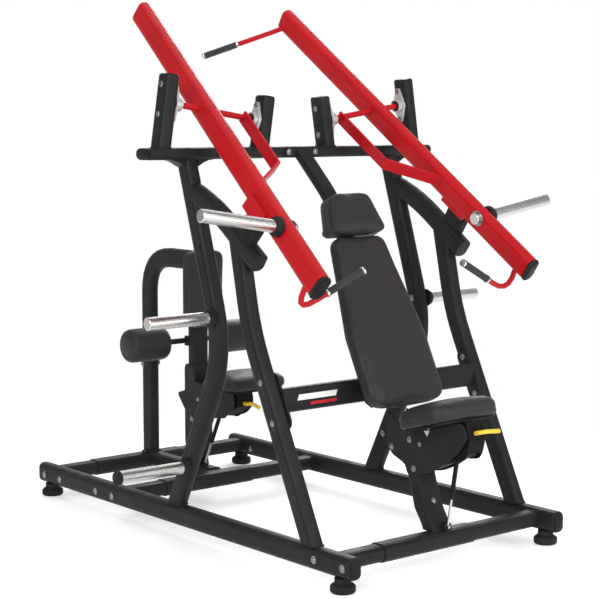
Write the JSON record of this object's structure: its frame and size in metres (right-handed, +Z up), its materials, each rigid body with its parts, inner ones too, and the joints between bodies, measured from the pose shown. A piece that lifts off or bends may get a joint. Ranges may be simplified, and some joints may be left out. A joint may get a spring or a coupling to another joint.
{
  "type": "chest press machine",
  "caption": "Plate-loaded dual strength machine: converging red press arms over a black frame, with a front chest press seat and a rear pulldown seat.",
  "frame": {"origin": "centre of the footprint box, on the floor", "axes": "+X to the right of a viewer facing the chest press side, -Y towards the chest press user, +Y towards the pulldown side, +Z up"},
  "size_m": [1.8012, 2.226, 2.1637],
  "materials": {
    "frame_paint": "satin charcoal black powder coat",
    "arm_paint": "satin red powder coat",
    "chrome_steel": "polished chrome plating",
    "cast_bearing": "light grey cast bearing housing",
    "black_rubber": "matt black moulded rubber",
    "pad_vinyl": "dark grey grained vinyl upholstery",
    "black_plastic": "black moulded cover",
    "yellow_lever": "yellow dipped plastic"
  },
  "bodies": {
    "frame": {"left_base_rail": "frame_paint", "left_front_foot": "black_rubber", "left_rear_foot": "black_rubber", "left_front_leg": "frame_paint", "left_rear_leg": "frame_paint", "left_rubber_bumper": "black_rubber", "left_upper_storage_horn": "chrome_steel", "left_lower_storage_horn": "chrome_steel", "left_outer_bearing": "cast_bearing", "left_inner_bearing": "cast_bearing", "right_base_rail": "frame_paint", "right_front_foot": "black_rubber", "right_rear_foot": "black_rubber", "right_front_leg": "frame_paint", "right_rear_leg": "frame_paint", "right_rubber_bumper": "black_rubber", "right_upper_storage_horn": "chrome_steel", "right_lower_storage_horn": "chrome_steel", "right_outer_bearing": "cast_bearing", "right_inner_bearing": "cast_bearing", "front_cross_tube": "frame_paint", "middle_cross_tube": "frame_paint", "rear_cross_tube": "frame_paint", "crossbar_frame": "frame_paint", "front_tie_bar": "frame_paint", "back_support": "frame_paint", "backrest_pad": "pad_vinyl", "headrest_pad": "pad_vinyl", "front_seat_column": "frame_paint", "rear_seat_column": "frame_paint", "rear_post": "frame_paint", "chest_pad": "pad_vinyl", "roller_axle": "frame_paint"},
    "left_arm": {"left_arm": "arm_paint", "left_arm_end_cap": "black_rubber", "left_weight_horn": "chrome_steel", "left_press_grip": "black_rubber", "left_pulldown_grip": "black_rubber"},
    "left_roller": {"left_thigh_roller": "pad_vinyl"},
    "right_arm": {"right_arm": "arm_paint", "right_arm_end_cap": "black_rubber", "right_weight_horn": "chrome_steel", "right_press_grip": "black_rubber", "right_pulldown_grip": "black_rubber"},
    "right_roller": {"right_thigh_roller": "pad_vinyl"},
    "front_upper_link": {"front_upper_link": "frame_paint"},
    "front_lower_link": {"front_lower_link": "frame_paint"},
    "front_seat": {"front_seat_carriage": "black_plastic", "front_seat_pad": "pad_vinyl"},
    "front_lever": {"front_release_lever": "yellow_lever"},
    "front_gas_rod": {"front_gas_rod": "chrome_steel"},
    "front_gas_cylinder": {"front_gas_cylinder": "black_plastic"},
    "rear_upper_link": {"rear_upper_link": "frame_paint"},
    "rear_lower_link": {"rear_lower_link": "frame_paint"},
    "rear_seat": {"rear_seat_carriage": "black_plastic", "rear_seat_pad": "pad_vinyl"},
    "rear_lever": {"rear_release_lever": "yellow_lever"},
    "rear_gas_rod": {"rear_gas_rod": "chrome_steel"},
    "rear_gas_cylinder": {"rear_gas_cylinder": "black_plastic"}
  },
  "joints": [
    {"name": "left_arm_pivot", "type": "hinge", "parent": "frame", "child": "left_arm", "pos_m": [-0.449, -0.01199, 1.717], "axis": [-0.9882, 0, 0.153], "range_deg": [0, 50]},
    {"name": "left_roller_spin", "type": "hinge", "parent": "frame", "child": "left_roller", "pos_m": [-0.25, 0.71401, 0.691], "axis": [1, 0, 0], "continuous": true},
    {"name": "right_arm_pivot", "type": "hinge", "parent": "frame", "child": "right_arm", "pos_m": [0.449, -0.01199, 1.717], "axis": [-0.9882, 0, -0.153], "range_deg": [0, 50]},
    {"name": "right_roller_spin", "type": "hinge", "parent": "frame", "child": "right_roller", "pos_m": [0.25, 0.71401, 0.691], "axis": [1, 0, 0], "continuous": true},
    {"name": "front_seat_lift", "type": "hinge", "parent": "frame", "child": "front_upper_link", "pos_m": [0, -0.85829, 0.44398], "axis": [-1, 0, 0], "range_deg": [0, 30]},
    {"name": "front_lower_link_pivot", "type": "hinge", "parent": "frame", "child": "front_lower_link", "pos_m": [0, -0.87759, 0.37669], "axis": [-1, 0, 0], "range_deg": [0, 30]},
    {"name": "front_seat_level", "type": "hinge", "parent": "front_upper_link", "child": "front_seat", "pos_m": [0, -1.02273, 0.51719], "axis": [-1, 0, 0], "range_deg": [-30, 0]},
    {"name": "front_gas_rod_pivot", "type": "hinge", "parent": "frame", "child": "front_gas_rod", "pos_m": [0, -0.93192, 0.15092], "axis": [-1, 0, 0], "range_deg": [0, 8.3]},
    {"name": "front_gas_extend", "type": "slide", "parent": "front_gas_rod", "child": "front_gas_cylinder", "axis": [0, -0.1741, 0.9847], "range_m": [0, 0.04341]},
    {"name": "front_lever_pull", "type": "hinge", "parent": "front_seat", "child": "front_lever", "pos_m": [-0.018, -1.09227, 0.535], "axis": [0, -0.9613, 0.2756], "range_deg": [0, 10], "stiffness_Nm_per_rad": 1},
    {"name": "rear_seat_lift", "type": "hinge", "parent": "frame", "child": "rear_upper_link", "pos_m": [0, 0.60201, 0.446], "axis": [-1, 0, 0], "range_deg": [0, 30]},
    {"name": "rear_lower_link_pivot", "type": "hinge", "parent": "frame", "child": "rear_lower_link", "pos_m": [0, 0.60201, 0.376], "axis": [-1, 0, 0], "range_deg": [0, 30]},
    {"name": "rear_seat_level", "type": "hinge", "parent": "rear_upper_link", "child": "rear_seat", "pos_m": [0, 0.42376, 0.47105], "axis": [-1, 0, 0], "range_deg": [-30, 0]},
    {"name": "rear_gas_rod_pivot", "type": "hinge", "parent": "frame", "child": "rear_gas_rod", "pos_m": [0, 0.61201, 0.144], "axis": [-1, 0, 0], "range_deg": [0, 8.3]},
    {"name": "rear_gas_extend", "type": "slide", "parent": "rear_gas_rod", "child": "rear_gas_cylinder", "axis": [0, -0.4388, 0.8986], "range_m": [0, 0.04341]},
    {"name": "rear_lever_pull", "type": "hinge", "parent": "rear_seat", "child": "rear_lever", "pos_m": [-0.018, 0.30001, 0.455], "axis": [0, -1, 0], "range_deg": [0, 10], "stiffness_Nm_per_rad": 1}
  ],
  "couplings": [
    {"joint": "front_lower_link_pivot", "follows": "front_seat_lift", "ratio": 1},
    {"joint": "front_seat_level", "follows": "front_seat_lift", "ratio": -1},
    {"joint": "front_gas_rod_pivot", "follows": "front_seat_lift", "ratio": 0.26},
    {"joint": "front_gas_extend", "follows": "front_seat_lift", "m_per_rad": 0.081},
    {"joint": "rear_lower_link_pivot", "follows": "rear_seat_lift", "ratio": 1},
    {"joint": "rear_seat_level", "follows": "rear_seat_lift", "ratio": -1},
    {"joint": "rear_gas_rod_pivot", "follows": "rear_seat_lift", "ratio": 0.26},
    {"joint": "rear_gas_extend", "follows": "rear_seat_lift", "m_per_rad": 0.081}
  ]
}
